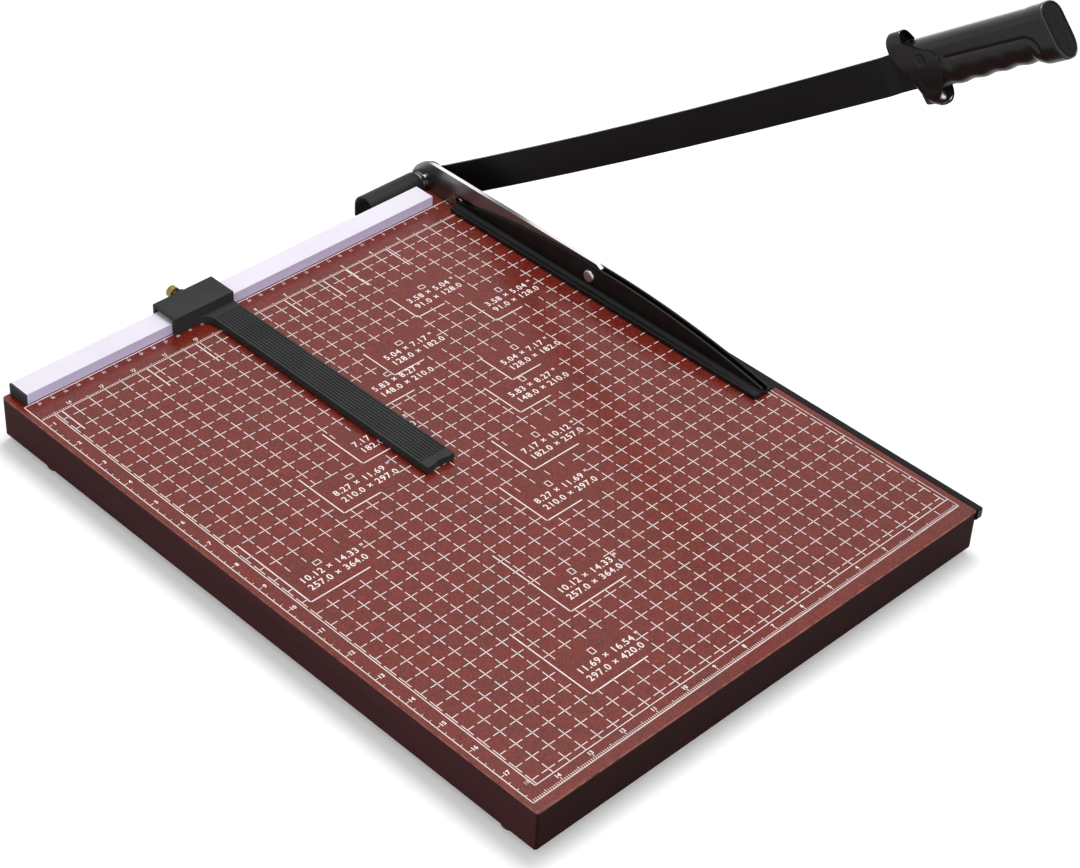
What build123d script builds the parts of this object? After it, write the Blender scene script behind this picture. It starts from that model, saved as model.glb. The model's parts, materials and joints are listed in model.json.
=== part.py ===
from build123d import *
import math
import os

os.makedirs("parts", exist_ok=True)

# Guillotine paper trimmer on a solid board, lengths in millimetres.
# Frame: origin at the centre of the board's underside, +X towards the cutting edge,
# +Y towards the fence at the back, +Z up.

# ---- Driving dimensions ----

# Board and feet
board_width = 379.0
board_length = 483.0
board_thickness = 29.5
board_corner_radius = 2.0
board_edge_radius = 1.0
foot_height = 5.0
foot_radius = 8.0
foot_draft = 1.2
foot_floor = 2.4
foot_side_inset = 9.5
foot_front_inset = 27.0
foot_back_inset = 42.5

# Fixed blade on the board's right side, and the strip let in beside it
blade_thickness = 4.5
blade_height = 11.0
strip_width = 5.6
strip_thickness = 2.0
blade_front_overhang = 0.8
blade_front_chamfer = 4.0
blade_corner_radius = 1.2
ear_radius = 12.0
blade_screw_count = 6
blade_screw_end_margin = 22.0

# Fence rail
rail_depth = 16.8
rail_height = 7.6
rail_wall = 1.4
rail_back_inset = 0.5
rail_left_inset = 6.0
rail_right_inset = 25.5
rail_cap_flange = 1.5
rail_block_length = 18.0

# Lever pivot behind the board
pivot_setback = 11.0
pivot_drop = 2.5
bolt_radius = 3.0
bolt_head_flats = 10.0
bolt_head_height = 4.0
bolt_end_chamfer = 0.8
nut_height = 5.0
washer_thickness = 1.5
small_washer_radius = 6.4
large_washer_radius = 10.8
spacer_radius = 6.5
spring_radius = 5.2
spring_wire_radius = 1.1
spring_turns = 7
spring_length = 32.0
bolt_end_projection = 2.5

# Spring cover
cover_length = 47.5
cover_sheet = 1.2
cover_front_leg = 21.0
cover_back_leg = 9.0
cover_screw_spacing = 26.0
cover_screw_drop = 16.0

# Blade lever: outline is along and across the lever, measured from the pivot
open_angle = 35.0
lever_thickness = 3.0
lever_hub_radius = 7.0
lever_top_start = 6.5
lever_top_middle = 2.0
lever_top_end = 4.2
lever_edge_start = 17.6
lever_edge_middle = 20.9
lever_edge_end = 19.2
lever_heel_reach = 24.0
lever_blade_length = 474.0
lever_bevel_width = 5.0
lever_bevel_depth = 2.2
joggle_setback = 22.0
joggle_length = 8.0
guard_after_joggle = 1.0
tang_width = 16.0
tang_length = 84.0

# Handle: stations are distances along the lever from the guard's front
handle_skin = 2.4
handle_length = 119.0
grip_width = 17.4
grip_height = 32.0
grip_corner_radius = 7.6
grip_axis_drop = 7.2
guard_top = 14.5
guard_bottom = 33.0
guard_top_length = 22.0
guard_bottom_length = 11.0
guard_lean = 10.0
guard_width = 21.0
guard_corner_radius = 4.8
guard_edge_radius = 2.4
grip_inside_guard = 3.0
flare_length = 20.0
flare_growth = 1.6
end_recess_rim = 1.6
end_recess_depth = 2.6
end_cap_thickness = 2.0
scallop_count = 5
scallop_pitch = 17.0
scallop_radius = 17.0
scallop_depth = 1.8
scallop_first = 33.0
side_groove_width = 2.4
side_groove_depth = 1.0
side_groove_start = 40.0
side_groove_end = 98.0
side_groove_drop = 5.5
side_groove_turn = 8.0
handle_screw_station = 22.0
handle_screw_drop = 3.1
handle_screw_head_radius = 2.8
handle_nut_flats = 7.0
handle_nut_height = 3.2
handle_nut_recess = 0.5

# Clamp arm and clamp bar
clamp_gap_to_edge = 5.8
bar_base_width = 15.8
bar_base_thickness = 2.5
bar_lip_height = 3.4
bar_lip_width = 2.4
bar_lip_edge_radius = 0.8
bar_length = 286.5
bar_back_setback = 31.7
fin_thickness = 1.4
fin_slot = 3.6
fin_setback = 3.4
fin_end_height = 6.4
fin_crown_height = 21.0
fin_root_radius = 3.0
arm_thickness = 3.0
arm_crown_height = 22.8
arm_shoulder_radius = 24.0
arm_ear_radius = 7.0
arm_nose_past_rivet = 8.2
arm_nose_chamfer = 4.5
arm_foot_height = 4.5
arm_heel_height = 11.0
arm_step_gap = 4.0
arm_rest_gap = 0.6
arm_stud_setback = 7.6
arm_stud_rise = 11.2
arm_stud_radius = 2.4
arm_stud_height = 1.6
arm_stud_edge_radius = 0.9
rivet_back_setback = 162.0
rivet_height = 12.0
rivet_radius = 3.0
rivet_head_radius = 4.6
rivet_head_height = 1.8
rivet_dome_radius = 1.4

# Paper stop
stop_offset = -42.6
stop_width = 49.0
stop_top_height = 13.1
stop_top_thickness = 2.5
stop_front_leg = 3.1
stop_back_leg = 2.2
stop_back_hook = 4.0
stop_edge_radius = 0.8
stop_rib_width = 2.0
stop_rib_inset = 9.0
arm_plate_width = 22.5
arm_plate_length = 214.0
arm_plate_height = 5.5
arm_plate_wall = 2.0
arm_plate_lift = 0.6
arm_root_fillet = 9.0
arm_groove_count = 9
arm_groove_pitch = 2.3
arm_groove_width = 1.1
arm_groove_depth = 0.6
arm_groove_margin = 7.0
nose_notch_radius = 13.0
nose_notch_depth = 1.2

# Thumb screw
thumb_screw_height = 5.5
thumb_shank_radius = 2.0
thumb_head_radius = 4.2
thumb_head_length = 4.4
thumb_head_standoff = 4.3
thumb_flute_count = 16
thumb_flute_radius = 0.45
boss_radius = 5.5
boss_length = 3.8
insert_radius = 3.2

# Wood screws
screw_shank_radius = 1.75
screw_head_radius = 3.6
screw_head_height = 2.2
blade_screw_head_radius = 3.9
foot_screw_length = 14.0
rail_screw_length = 26.0
blade_screw_length = 24.0
cover_screw_length = 14.0
recess_width = 0.9
recess_depth = 1.1

# Clearances
moving_gap = 0.3
seat_gap = 0.1
running_clearance = 0.06
bolt_clearance = 0.1
screw_clearance = 0.05

# ---- Derived places ----

board_right = board_width / 2
board_left = -board_right
board_back = board_length / 2
board_front = -board_back
board_top = board_thickness

rail_back = board_back - rail_back_inset
rail_front = rail_back - rail_depth
rail_centre = rail_back - rail_depth / 2
rail_left = board_left + rail_left_inset
rail_right = board_right - rail_right_inset
rail_top = board_top + rail_height

blade_outer = board_right + blade_thickness
blade_front = board_front - blade_front_overhang
pivot_y = board_back + pivot_setback
pivot_z = board_top - pivot_drop

lever_inner = blade_outer + moving_gap
lever_outer = lever_inner + lever_thickness
handle_inner = lever_inner + moving_gap
joggle_depth = handle_inner + handle_skin - lever_inner
tang_inner = lever_inner + joggle_depth
tang_outer = tang_inner + lever_thickness
tang_end = lever_blade_length + tang_length
tang_rise = (lever_top_end - lever_edge_end) / 2
grip_centre = handle_inner + grip_width / 2
joggle_start = lever_blade_length - joggle_setback
guard_start = joggle_start + joggle_length + guard_after_joggle
grip_start = guard_start + guard_top_length - grip_inside_guard
handle_end = guard_start + handle_length
handle_outer = handle_inner + grip_width
handle_screw_at = (guard_start + handle_screw_station, -handle_screw_drop)
handle_nut_x = handle_outer - handle_nut_height - handle_nut_recess
end_cap_width = grip_width + flare_growth - 2 * end_recess_rim
end_cap_height = grip_height + 2 * flare_growth - 2 * end_recess_rim

bar_right = board_right - clamp_gap_to_edge
bar_left = bar_right - bar_base_width
rear_fin_right = bar_right - fin_setback
slot_right = rear_fin_right - fin_thickness
slot_left = slot_right - fin_slot
front_fin_left = slot_left - fin_thickness
bar_bottom = board_top + moving_gap
bar_floor = bar_bottom + bar_base_thickness
bar_lip_top = bar_bottom + bar_lip_height
bar_back = board_back - bar_back_setback
bar_front = bar_back - bar_length
bar_middle = (bar_back + bar_front) / 2
arm_left = (slot_left + slot_right - arm_thickness) / 2
arm_right = arm_left + arm_thickness
rivet_y = board_back - rivet_back_setback
rivet_z = board_top + rivet_height

cover_right = arm_left - moving_gap - washer_thickness - moving_gap
cover_left = cover_right - cover_length
cover_middle = cover_right - cover_length / 2

stop_left = stop_offset - stop_width / 2
stop_right = stop_offset + stop_width / 2
stop_front = rail_front - moving_gap - stop_front_leg
stop_back_inside = board_back + moving_gap
stop_back = stop_back_inside + stop_back_leg
stop_top = board_top + stop_top_height
stop_ceiling = stop_top - stop_top_thickness
stop_foot = board_top + moving_gap
stop_hook = board_top - stop_back_hook
thumb_z = board_top + thumb_screw_height
boss_end = stop_back + boss_length
thumb_head_start = boss_end + thumb_head_standoff
arm_plate_left = stop_right - arm_plate_width
arm_plate_centre = stop_right - arm_plate_width / 2
arm_plate_end = stop_front - arm_plate_length
arm_plate_top = board_top + arm_plate_height

foot_points = {
    "front_left": (board_left + foot_side_inset, board_front + foot_front_inset),
    "front_right": (board_right - foot_side_inset, board_front + foot_front_inset),
    "back_left": (board_left + foot_side_inset, board_back - foot_back_inset),
    "back_right": (board_right - foot_side_inset, board_back - foot_back_inset),
}
rail_screw_xs = [
    rail_left + rail_cap_flange + rail_block_length / 2,
    (rail_left + rail_right) / 2,
    rail_right - rail_block_length / 2,
]
rail_screw_places = [(x, rail_centre) for x in rail_screw_xs]
rail_block_height = rail_height - rail_wall - seat_gap
rail_bore_depth = board_top + rail_block_height - rail_screw_length
blade_screw_z = board_top - (blade_height + strip_thickness) / 2
blade_screw_step = (board_length - 2 * blade_screw_end_margin) / (blade_screw_count - 1)
blade_screw_ys = [
    board_front + blade_screw_end_margin + i * blade_screw_step for i in range(blade_screw_count)
]
blade_screw_seats = [
    Plane(origin=(blade_outer, y, blade_screw_z), x_dir=(0, 1, 0), z_dir=(1, 0, 0))
    for y in blade_screw_ys
]
cover_screw_xs = [cover_middle - cover_screw_spacing / 2, cover_middle + cover_screw_spacing / 2]
cover_screw_z = pivot_z - cover_screw_drop
cover_screw_seats = [
    Plane(origin=(x, board_back + cover_sheet, cover_screw_z), x_dir=(-1, 0, 0), z_dir=(0, 1, 0))
    for x in cover_screw_xs
]

# Lever directions at rest: along the lever and across it
lever_along = (0, -math.cos(math.radians(open_angle)), math.sin(math.radians(open_angle)))
lever_across = (0, math.sin(math.radians(open_angle)), math.cos(math.radians(open_angle)))
lever_top_plane = Plane(origin=(0, pivot_y, pivot_z), x_dir=lever_along, z_dir=lever_across)


def side_plane(x):
    """Plane across X: local x is +Y, local y is +Z, normal +X."""
    return Plane(origin=(x, 0, 0), x_dir=(0, 1, 0), z_dir=(1, 0, 0))


def pivot_plane(x):
    """Plane across the pivot axis: origin on the axis, local x is +Y, normal -X."""
    return Plane(origin=(x, pivot_y, pivot_z), x_dir=(0, 1, 0), z_dir=(-1, 0, 0))


def back_plane(y):
    """Plane that faces the back: local x is -X, local y is +Z, normal +Y."""
    return Plane(origin=(0, y, 0), x_dir=(-1, 0, 0), z_dir=(0, 1, 0))


def lever_plane(x):
    """Plane of the raised lever: local x runs out from the pivot, local y across, normal -X."""
    return Plane(origin=(x, pivot_y, pivot_z), x_dir=lever_along, z_dir=(-1, 0, 0))


def grip_plane(station):
    """Section across the lever at a distance from the pivot: local x is +X, local y across."""
    origin = (0, pivot_y + station * lever_along[1], pivot_z + station * lever_along[2])
    return Plane(origin=origin, x_dir=(1, 0, 0), z_dir=lever_along)


def pan_screw(length):
    """Pan head screw: seat at the origin, head along +Z, shank along -Z."""
    with BuildPart() as screw:
        with BuildSketch():
            Circle(screw_head_radius)
        extrude(amount=screw_head_height)
        fillet(screw.edges().sort_by(Axis.Z)[-1], radius=screw_head_height / 3)
        with BuildSketch(Plane.XY.offset(screw_head_height)):
            Rectangle(screw_head_radius, recess_width)
            Rectangle(recess_width, screw_head_radius)
        extrude(amount=-recess_depth, mode=Mode.SUBTRACT)
        with BuildSketch():
            Circle(screw_shank_radius)
        extrude(amount=-length)
    return screw.part


def countersunk_screw(length, head_radius):
    """Countersunk screw: flush head at the origin, shank along -Z."""
    with BuildPart() as screw:
        with BuildSketch():
            Circle(head_radius)
        with BuildSketch(Plane.XY.offset(screw_shank_radius - head_radius)):
            Circle(screw_shank_radius)
        loft()
        with BuildSketch():
            Circle(screw_shank_radius)
        extrude(amount=-length)
        with BuildSketch():
            Rectangle(head_radius, recess_width)
            Rectangle(recess_width, head_radius)
        extrude(amount=-recess_depth, mode=Mode.SUBTRACT)
    return screw.part


def ring(plane, inner_radius, outer_radius, thickness):
    """Flat ring that rises from a plane along its normal."""
    with BuildPart() as body:
        with BuildSketch(plane):
            Circle(outer_radius)
            Circle(inner_radius, mode=Mode.SUBTRACT)
        extrude(amount=thickness)
    return body.part


# ---- Base board: solid slab with a rebate for the edge strip ----

strip_back = board_back
strip_front = bar_front + moving_gap
strip_length = strip_back - strip_front
with BuildPart() as base_board:
    with BuildSketch():
        Rectangle(board_width, board_length)
    extrude(amount=board_thickness)
    fillet(base_board.edges().filter_by(Axis.Z), radius=board_corner_radius)
    fillet(base_board.faces().sort_by(Axis.Z)[-1].edges(), radius=board_edge_radius)
    fillet(base_board.faces().sort_by(Axis.Z)[0].edges(), radius=board_edge_radius)
    with BuildSketch(Plane((board_right, strip_back, board_top))):
        Rectangle(strip_width + seat_gap, strip_length + seat_gap, align=(Align.MAX, Align.MAX))
    extrude(amount=-strip_thickness, mode=Mode.SUBTRACT)
    with BuildSketch():
        with Locations(*foot_points.values()):
            Circle(screw_shank_radius + screw_clearance)
    extrude(amount=foot_screw_length, mode=Mode.SUBTRACT)
    with BuildSketch():
        with Locations(*rail_screw_places):
            Circle(screw_shank_radius + screw_clearance)
    extrude(amount=board_thickness, mode=Mode.SUBTRACT)
    with BuildSketch():
        with Locations(*rail_screw_places):
            Circle(screw_head_radius + seat_gap)
    extrude(amount=rail_bore_depth, mode=Mode.SUBTRACT)
    with BuildSketch(side_plane(board_right)):
        with Locations(*[(y, blade_screw_z) for y in blade_screw_ys]):
            Circle(screw_shank_radius + screw_clearance)
    extrude(amount=-blade_screw_length, mode=Mode.SUBTRACT)
    for seat in cover_screw_seats:
        with BuildSketch(seat):
            Circle(screw_shank_radius + screw_clearance)
        extrude(amount=-cover_screw_length, mode=Mode.SUBTRACT)
base_board.part.label = "base_board"
export_step(base_board.part, "parts/base_board.step")

with BuildPart() as edge_strip:
    with BuildSketch(Plane((board_right, strip_back, board_top))):
        Rectangle(strip_width, strip_length, align=(Align.MAX, Align.MAX))
    extrude(amount=-strip_thickness)
edge_strip.part.label = "edge_strip"
export_step(edge_strip.part, "parts/edge_strip.step")

# ---- Feet: tapered rubber discs with a recessed screw ----

for place, (foot_x, foot_y) in foot_points.items():
    with BuildPart() as foot:
        with BuildSketch(Plane((foot_x, foot_y, 0))):
            Circle(foot_radius)
        with BuildSketch(Plane((foot_x, foot_y, -foot_height))):
            Circle(foot_radius - foot_draft)
        loft()
        with BuildSketch(Plane((foot_x, foot_y, -foot_height))):
            Circle(screw_head_radius + seat_gap)
        extrude(amount=foot_height - foot_floor, mode=Mode.SUBTRACT)
        with BuildSketch(Plane((foot_x, foot_y, -foot_height))):
            Circle(screw_shank_radius + screw_clearance)
        extrude(amount=foot_height, mode=Mode.SUBTRACT)
    foot.part.label = "foot_" + place
    export_step(foot.part, "parts/foot_" + place + ".step")

foot_screw = pan_screw(foot_screw_length + foot_floor)
with BuildPart() as foot_screws:
    with Locations(*[Location((x, y, -foot_floor), (180, 0, 0)) for x, y in foot_points.values()]):
        add(foot_screw)
foot_screws.part.label = "foot_screws"
export_step(foot_screws.part, "parts/foot_screws.step")

# ---- Fixed blade: flat bar on the board's right side, with an ear for the pivot ----

with BuildPart() as fixed_blade:
    with BuildSketch(side_plane(board_right)):
        with BuildLine():
            Polyline(
                (pivot_y, board_top - blade_height),
                (blade_front + blade_front_chamfer, board_top - blade_height),
                (blade_front, board_top - blade_height + blade_front_chamfer),
                (blade_front, board_top),
                (pivot_y, board_top),
                close=True,
            )
        make_face()
        with Locations((pivot_y, pivot_z)):
            Circle(ear_radius)
            Circle(bolt_radius + bolt_clearance, mode=Mode.SUBTRACT)
    extrude(amount=blade_thickness)
    front_edges = fixed_blade.edges().filter_by(Axis.X).group_by(Axis.Y)[0]
    fillet(front_edges.sort_by(Axis.Z)[-1], radius=blade_corner_radius)
    for seat in blade_screw_seats:
        with BuildSketch(seat):
            Circle(blade_screw_head_radius + screw_clearance)
        with BuildSketch(seat.offset(screw_shank_radius - blade_screw_head_radius)):
            Circle(screw_shank_radius + screw_clearance)
        loft(mode=Mode.SUBTRACT)
        with BuildSketch(seat):
            Circle(screw_shank_radius + screw_clearance)
        extrude(amount=-blade_thickness, mode=Mode.SUBTRACT)
fixed_blade.part.label = "fixed_blade"
export_step(fixed_blade.part, "parts/fixed_blade.step")

blade_screw = countersunk_screw(blade_screw_length, blade_screw_head_radius)
with BuildPart() as fixed_blade_screws:
    with Locations(*[seat.location for seat in blade_screw_seats]):
        add(blade_screw)
fixed_blade_screws.part.label = "fixed_blade_screws"
export_step(fixed_blade_screws.part, "parts/fixed_blade_screws.step")

# ---- Fence rail: channel over three blocks, screwed from below ----

channel_left = rail_left + rail_cap_flange
with BuildPart() as fence_rail:
    with BuildSketch(side_plane(channel_left)):
        with Locations((rail_centre, board_top)):
            Rectangle(rail_depth, rail_height, align=(Align.CENTER, Align.MIN))
            Rectangle(
                rail_depth - 2 * rail_wall,
                rail_height - rail_wall,
                align=(Align.CENTER, Align.MIN),
                mode=Mode.SUBTRACT,
            )
    extrude(amount=rail_right - channel_left)
fence_rail.part.label = "fence_rail"
export_step(fence_rail.part, "parts/fence_rail.step")

rail_block_names = ["rail_end_cap", "rail_middle_block", "rail_end_plug"]
for name, block_x in zip(rail_block_names, rail_screw_xs):
    with BuildPart() as block:
        with BuildSketch(Plane((block_x, rail_centre, board_top))):
            Rectangle(rail_block_length, rail_depth - 2 * (rail_wall + seat_gap))
        extrude(amount=rail_block_height)
        if name == "rail_end_cap":
            with BuildSketch(side_plane(rail_left)):
                with Locations((rail_centre, board_top)):
                    Rectangle(rail_depth, rail_height, align=(Align.CENTER, Align.MIN))
            extrude(amount=rail_cap_flange)
        with BuildSketch(Plane((block_x, rail_centre, board_top))):
            Circle(screw_shank_radius + screw_clearance)
        extrude(amount=rail_block_height, mode=Mode.SUBTRACT)
    block.part.label = name
    export_step(block.part, "parts/" + name + ".step")

rail_screw = pan_screw(rail_screw_length)
with BuildPart() as rail_screws:
    with Locations(*[Location((x, y, rail_bore_depth), (180, 0, 0)) for x, y in rail_screw_places]):
        add(rail_screw)
rail_screws.part.label = "rail_screws"
export_step(rail_screws.part, "parts/rail_screws.step")

# ---- Pivot stack, from the bolt head outside the lever to the nut under the cover ----

head_washer_x = lever_outer + moving_gap + washer_thickness
arm_washer_x = arm_left - moving_gap
spring_right = arm_washer_x - washer_thickness
spring_left = spring_right - spring_length
nut_right = spring_left - washer_thickness
bolt_end = nut_right - nut_height - bolt_end_projection
bolt_hole_radius = bolt_radius + bolt_clearance

with BuildPart() as pivot_bolt:
    with BuildSketch(pivot_plane(head_washer_x)):
        Circle(bolt_radius)
    extrude(amount=head_washer_x - bolt_end)
    chamfer(pivot_bolt.edges().sort_by(Axis.X)[0], length=bolt_end_chamfer)
    with BuildSketch(pivot_plane(head_washer_x + bolt_head_height)):
        RegularPolygon(bolt_head_flats / 2, 6, major_radius=False)
    extrude(amount=bolt_head_height)
pivot_bolt.part.label = "pivot_bolt"
export_step(pivot_bolt.part, "parts/pivot_bolt.step")

pivot_rings = {
    "head_washer": (head_washer_x, small_washer_radius, washer_thickness),
    "pivot_spacer": (board_right, spacer_radius, board_right - arm_right - moving_gap),
    "arm_washer": (arm_washer_x, large_washer_radius, washer_thickness),
    "spring_washer": (spring_left, small_washer_radius, washer_thickness),
}
for name, (ring_x, ring_radius, ring_thickness) in pivot_rings.items():
    pivot_ring = ring(pivot_plane(ring_x), bolt_hole_radius, ring_radius, ring_thickness)
    pivot_ring.label = name
    export_step(pivot_ring, "parts/" + name + ".step")

with BuildPart() as pivot_nut:
    with BuildSketch(pivot_plane(nut_right)):
        RegularPolygon(bolt_head_flats / 2, 6, major_radius=False)
        Circle(bolt_hole_radius, mode=Mode.SUBTRACT)
    extrude(amount=nut_height)
pivot_nut.part.label = "pivot_nut"
export_step(pivot_nut.part, "parts/pivot_nut.step")

# The coil's ends are ground flat against the washers
spring_pitch = spring_length / spring_turns
with BuildPart() as pivot_spring:
    with BuildLine() as coil:
        Helix(
            pitch=spring_pitch,
            height=spring_length,
            radius=spring_radius,
            center=(spring_right, pivot_y, pivot_z),
            direction=(-1, 0, 0),
        )
    with BuildSketch(Plane(origin=coil.line @ 0, z_dir=coil.line % 0)):
        Circle(spring_wire_radius)
    sweep(is_frenet=True)
    for end_x in (spring_right + spring_pitch, spring_left):
        with BuildSketch(pivot_plane(end_x)):
            Circle(2 * spring_radius)
        extrude(amount=spring_pitch, mode=Mode.SUBTRACT)
pivot_spring.part.label = "pivot_spring"
export_step(pivot_spring.part, "parts/pivot_spring.step")

# ---- Spring cover: bent sheet arch, front leg screwed to the board's back ----

with BuildPart() as spring_cover:
    with BuildSketch(side_plane(cover_left)):
        with Locations((pivot_y, pivot_z)):
            Circle(pivot_setback)
            Circle(pivot_setback - cover_sheet, mode=Mode.SUBTRACT)
            Rectangle(
                2 * pivot_setback,
                pivot_setback,
                align=(Align.CENTER, Align.MAX),
                mode=Mode.SUBTRACT,
            )
        with Locations((board_back, pivot_z)):
            Rectangle(cover_sheet, cover_front_leg, align=(Align.MIN, Align.MAX))
        with Locations((pivot_y + pivot_setback, pivot_z)):
            Rectangle(cover_sheet, cover_back_leg, align=(Align.MAX, Align.MAX))
    extrude(amount=cover_length)
    for seat in cover_screw_seats:
        with BuildSketch(seat):
            Circle(screw_shank_radius + screw_clearance)
        extrude(amount=-cover_sheet, mode=Mode.SUBTRACT)
spring_cover.part.label = "spring_cover"
export_step(spring_cover.part, "parts/spring_cover.step")

cover_screw = pan_screw(cover_screw_length)
with BuildPart() as spring_cover_screws:
    with Locations(*[seat.location for seat in cover_screw_seats]):
        add(cover_screw)
spring_cover_screws.part.label = "spring_cover_screws"
export_step(spring_cover_screws.part, "parts/spring_cover_screws.step")

# ---- Clamp arm: steel plate from the pivot to the rivet in the clamp bar ----

arm_crown = board_top + arm_crown_height
arm_underside = board_top + arm_foot_height
arm_heel = board_top + arm_heel_height
arm_rest = board_top + arm_rest_gap
arm_nose = rivet_y - arm_nose_past_rivet
arm_step_y = bar_back + arm_step_gap
shoulder_z = arm_crown - arm_shoulder_radius
shoulder_rise = shoulder_z - pivot_z
shoulder_y = pivot_y - math.sqrt((arm_shoulder_radius - arm_ear_radius) ** 2 - shoulder_rise**2)
with BuildPart() as clamp_arm:
    with BuildSketch(side_plane(arm_left)):
        with Locations((shoulder_y, shoulder_z)):
            Circle(arm_shoulder_radius)
        with Locations((shoulder_y, pivot_z)):
            Rectangle(
                2 * arm_shoulder_radius,
                arm_shoulder_radius,
                align=(Align.CENTER, Align.MAX),
                mode=Mode.SUBTRACT,
            )
        with Locations((board_back + arm_rest_gap, arm_rest)):
            Rectangle(
                2 * arm_shoulder_radius,
                arm_shoulder_radius,
                align=(Align.MAX, Align.MAX),
                mode=Mode.SUBTRACT,
            )
        with Locations((pivot_y, pivot_z)):
            Circle(arm_ear_radius)
        with BuildLine():
            Polyline(
                (shoulder_y, arm_crown),
                (arm_nose + arm_nose_chamfer, arm_crown),
                (arm_nose, arm_crown - arm_nose_chamfer / 2),
                (arm_nose, arm_underside + arm_nose_chamfer),
                (arm_nose + arm_nose_chamfer, arm_underside),
                (rivet_y + rivet_head_radius, arm_underside),
                (bar_back, arm_heel),
                (arm_step_y, arm_heel),
                (arm_step_y, arm_rest),
                (shoulder_y, arm_rest),
                close=True,
            )
        make_face()
        with Locations((pivot_y, pivot_z)):
            Circle(bolt_radius + running_clearance, mode=Mode.SUBTRACT)
        with Locations((rivet_y, rivet_z)):
            Circle(rivet_radius + running_clearance, mode=Mode.SUBTRACT)
    extrude(amount=arm_thickness)
    with BuildSketch(side_plane(arm_left)):
        with Locations((pivot_y - arm_stud_setback, pivot_z + arm_stud_rise)):
            Circle(arm_stud_radius)
    extrude(amount=-arm_stud_height)
    fillet(clamp_arm.edges().sort_by(Axis.X)[0], radius=arm_stud_edge_radius)
clamp_arm.part.label = "clamp_arm"
export_step(clamp_arm.part, "parts/clamp_arm.step")

# ---- Clamp bar: base with a lip and two crowned fins that hold the arm between them ----

fin_end = board_top + fin_end_height
fin_crown = board_top + fin_crown_height
with BuildPart() as clamp_bar:
    with BuildSketch(back_plane(bar_back)):
        with Locations((-bar_left, bar_bottom)):
            Rectangle(bar_base_width, bar_base_thickness, align=(Align.MAX, Align.MIN))
            Rectangle(bar_lip_width, bar_lip_height, align=(Align.MAX, Align.MIN))
        with Locations((-front_fin_left, bar_bottom), (-slot_right, bar_bottom)):
            Rectangle(fin_thickness, fin_crown - bar_bottom, align=(Align.MAX, Align.MIN))
    extrude(amount=-bar_length)
    long_edges = clamp_bar.edges().filter_by(Axis.Y)
    fillet(long_edges.sort_by_distance((front_fin_left, bar_middle, bar_floor))[0], radius=fin_root_radius)
    fillet(long_edges.sort_by_distance((bar_left, bar_middle, bar_lip_top))[0], radius=bar_lip_edge_radius)
    with BuildSketch(side_plane(bar_left)):
        with BuildLine():
            ThreePointArc((bar_front, fin_end), (rivet_y, fin_crown), (bar_back, fin_end))
            Polyline(
                (bar_back, fin_end),
                (bar_back, fin_crown + fin_end_height),
                (bar_front, fin_crown + fin_end_height),
                (bar_front, fin_end),
            )
        make_face()
    extrude(amount=bar_base_width, mode=Mode.SUBTRACT)
    with BuildSketch(side_plane(bar_left)):
        with Locations((rivet_y, rivet_z)):
            Circle(rivet_radius + screw_clearance)
    extrude(amount=bar_base_width, mode=Mode.SUBTRACT)
clamp_bar.part.label = "clamp_bar"
export_step(clamp_bar.part, "parts/clamp_bar.step")

with BuildPart() as clamp_rivet:
    with BuildSketch(side_plane(front_fin_left)):
        with Locations((rivet_y, rivet_z)):
            Circle(rivet_radius)
    extrude(amount=rear_fin_right - front_fin_left)
    for head_x, head_side in ((front_fin_left, -1), (rear_fin_right, 1)):
        with BuildSketch(Plane(origin=(head_x, rivet_y, rivet_z), z_dir=(head_side, 0, 0))):
            Circle(rivet_head_radius)
        extrude(amount=rivet_head_height)
    head_rims = clamp_rivet.edges().filter_by(GeomType.CIRCLE).sort_by(Axis.X)
    fillet([head_rims[0], head_rims[-1]], radius=rivet_dome_radius)
clamp_rivet.part.label = "clamp_rivet"
export_step(clamp_rivet.part, "parts/clamp_rivet.step")

# ---- Blade lever: sabre shaped plate, set over outwards where the tang begins ----

blade_end = lever_blade_length
with BuildPart() as blade_lever:
    with BuildSketch(lever_plane(tang_outer)):
        with BuildLine():
            ThreePointArc(
                (0, lever_top_start), (blade_end / 2, lever_top_middle), (blade_end, lever_top_end)
            )
            Line((blade_end, lever_top_end), (blade_end, -lever_edge_end))
            ThreePointArc(
                (blade_end, -lever_edge_end),
                (blade_end / 2, -lever_edge_middle),
                (lever_heel_reach, -lever_edge_start),
            )
            Polyline(
                (lever_heel_reach, -lever_edge_start), (0, -lever_hub_radius), (0, lever_top_start)
            )
        make_face()
        Circle(lever_hub_radius)
        with Locations((blade_end, tang_rise)):
            Rectangle(tang_length, tang_width, align=(Align.MIN, Align.CENTER))
        Circle(bolt_radius + running_clearance, mode=Mode.SUBTRACT)
        with Locations(handle_screw_at):
            Circle(screw_shank_radius + screw_clearance, mode=Mode.SUBTRACT)
    extrude(amount=tang_outer - lever_inner)
    with BuildSketch(lever_top_plane):
        with BuildLine():
            Polyline(
                (-lever_hub_radius, lever_inner),
                (joggle_start, lever_inner),
                (joggle_start + joggle_length, tang_inner),
                (tang_end, tang_inner),
                (tang_end, tang_outer),
                (joggle_start + joggle_length, tang_outer),
                (joggle_start, lever_outer),
                (-lever_hub_radius, lever_outer),
                close=True,
            )
        make_face()
    extrude(amount=2 * lever_edge_middle, both=True, mode=Mode.INTERSECT)
    outer_face = blade_lever.faces().filter_by(Axis.X).sort_by(Axis.X)[-2]
    long_arcs = outer_face.edges().sort_by(SortBy.LENGTH)[-2:]
    chamfer(
        long_arcs.sort_by(Axis.Z)[0],
        length=lever_bevel_width,
        length2=lever_bevel_depth,
        reference=outer_face,
    )
blade_lever.part.label = "blade_lever"
export_step(blade_lever.part, "parts/blade_lever.step")

# ---- Handle: grip with a leaning guard, moulded round the tang ----

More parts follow.
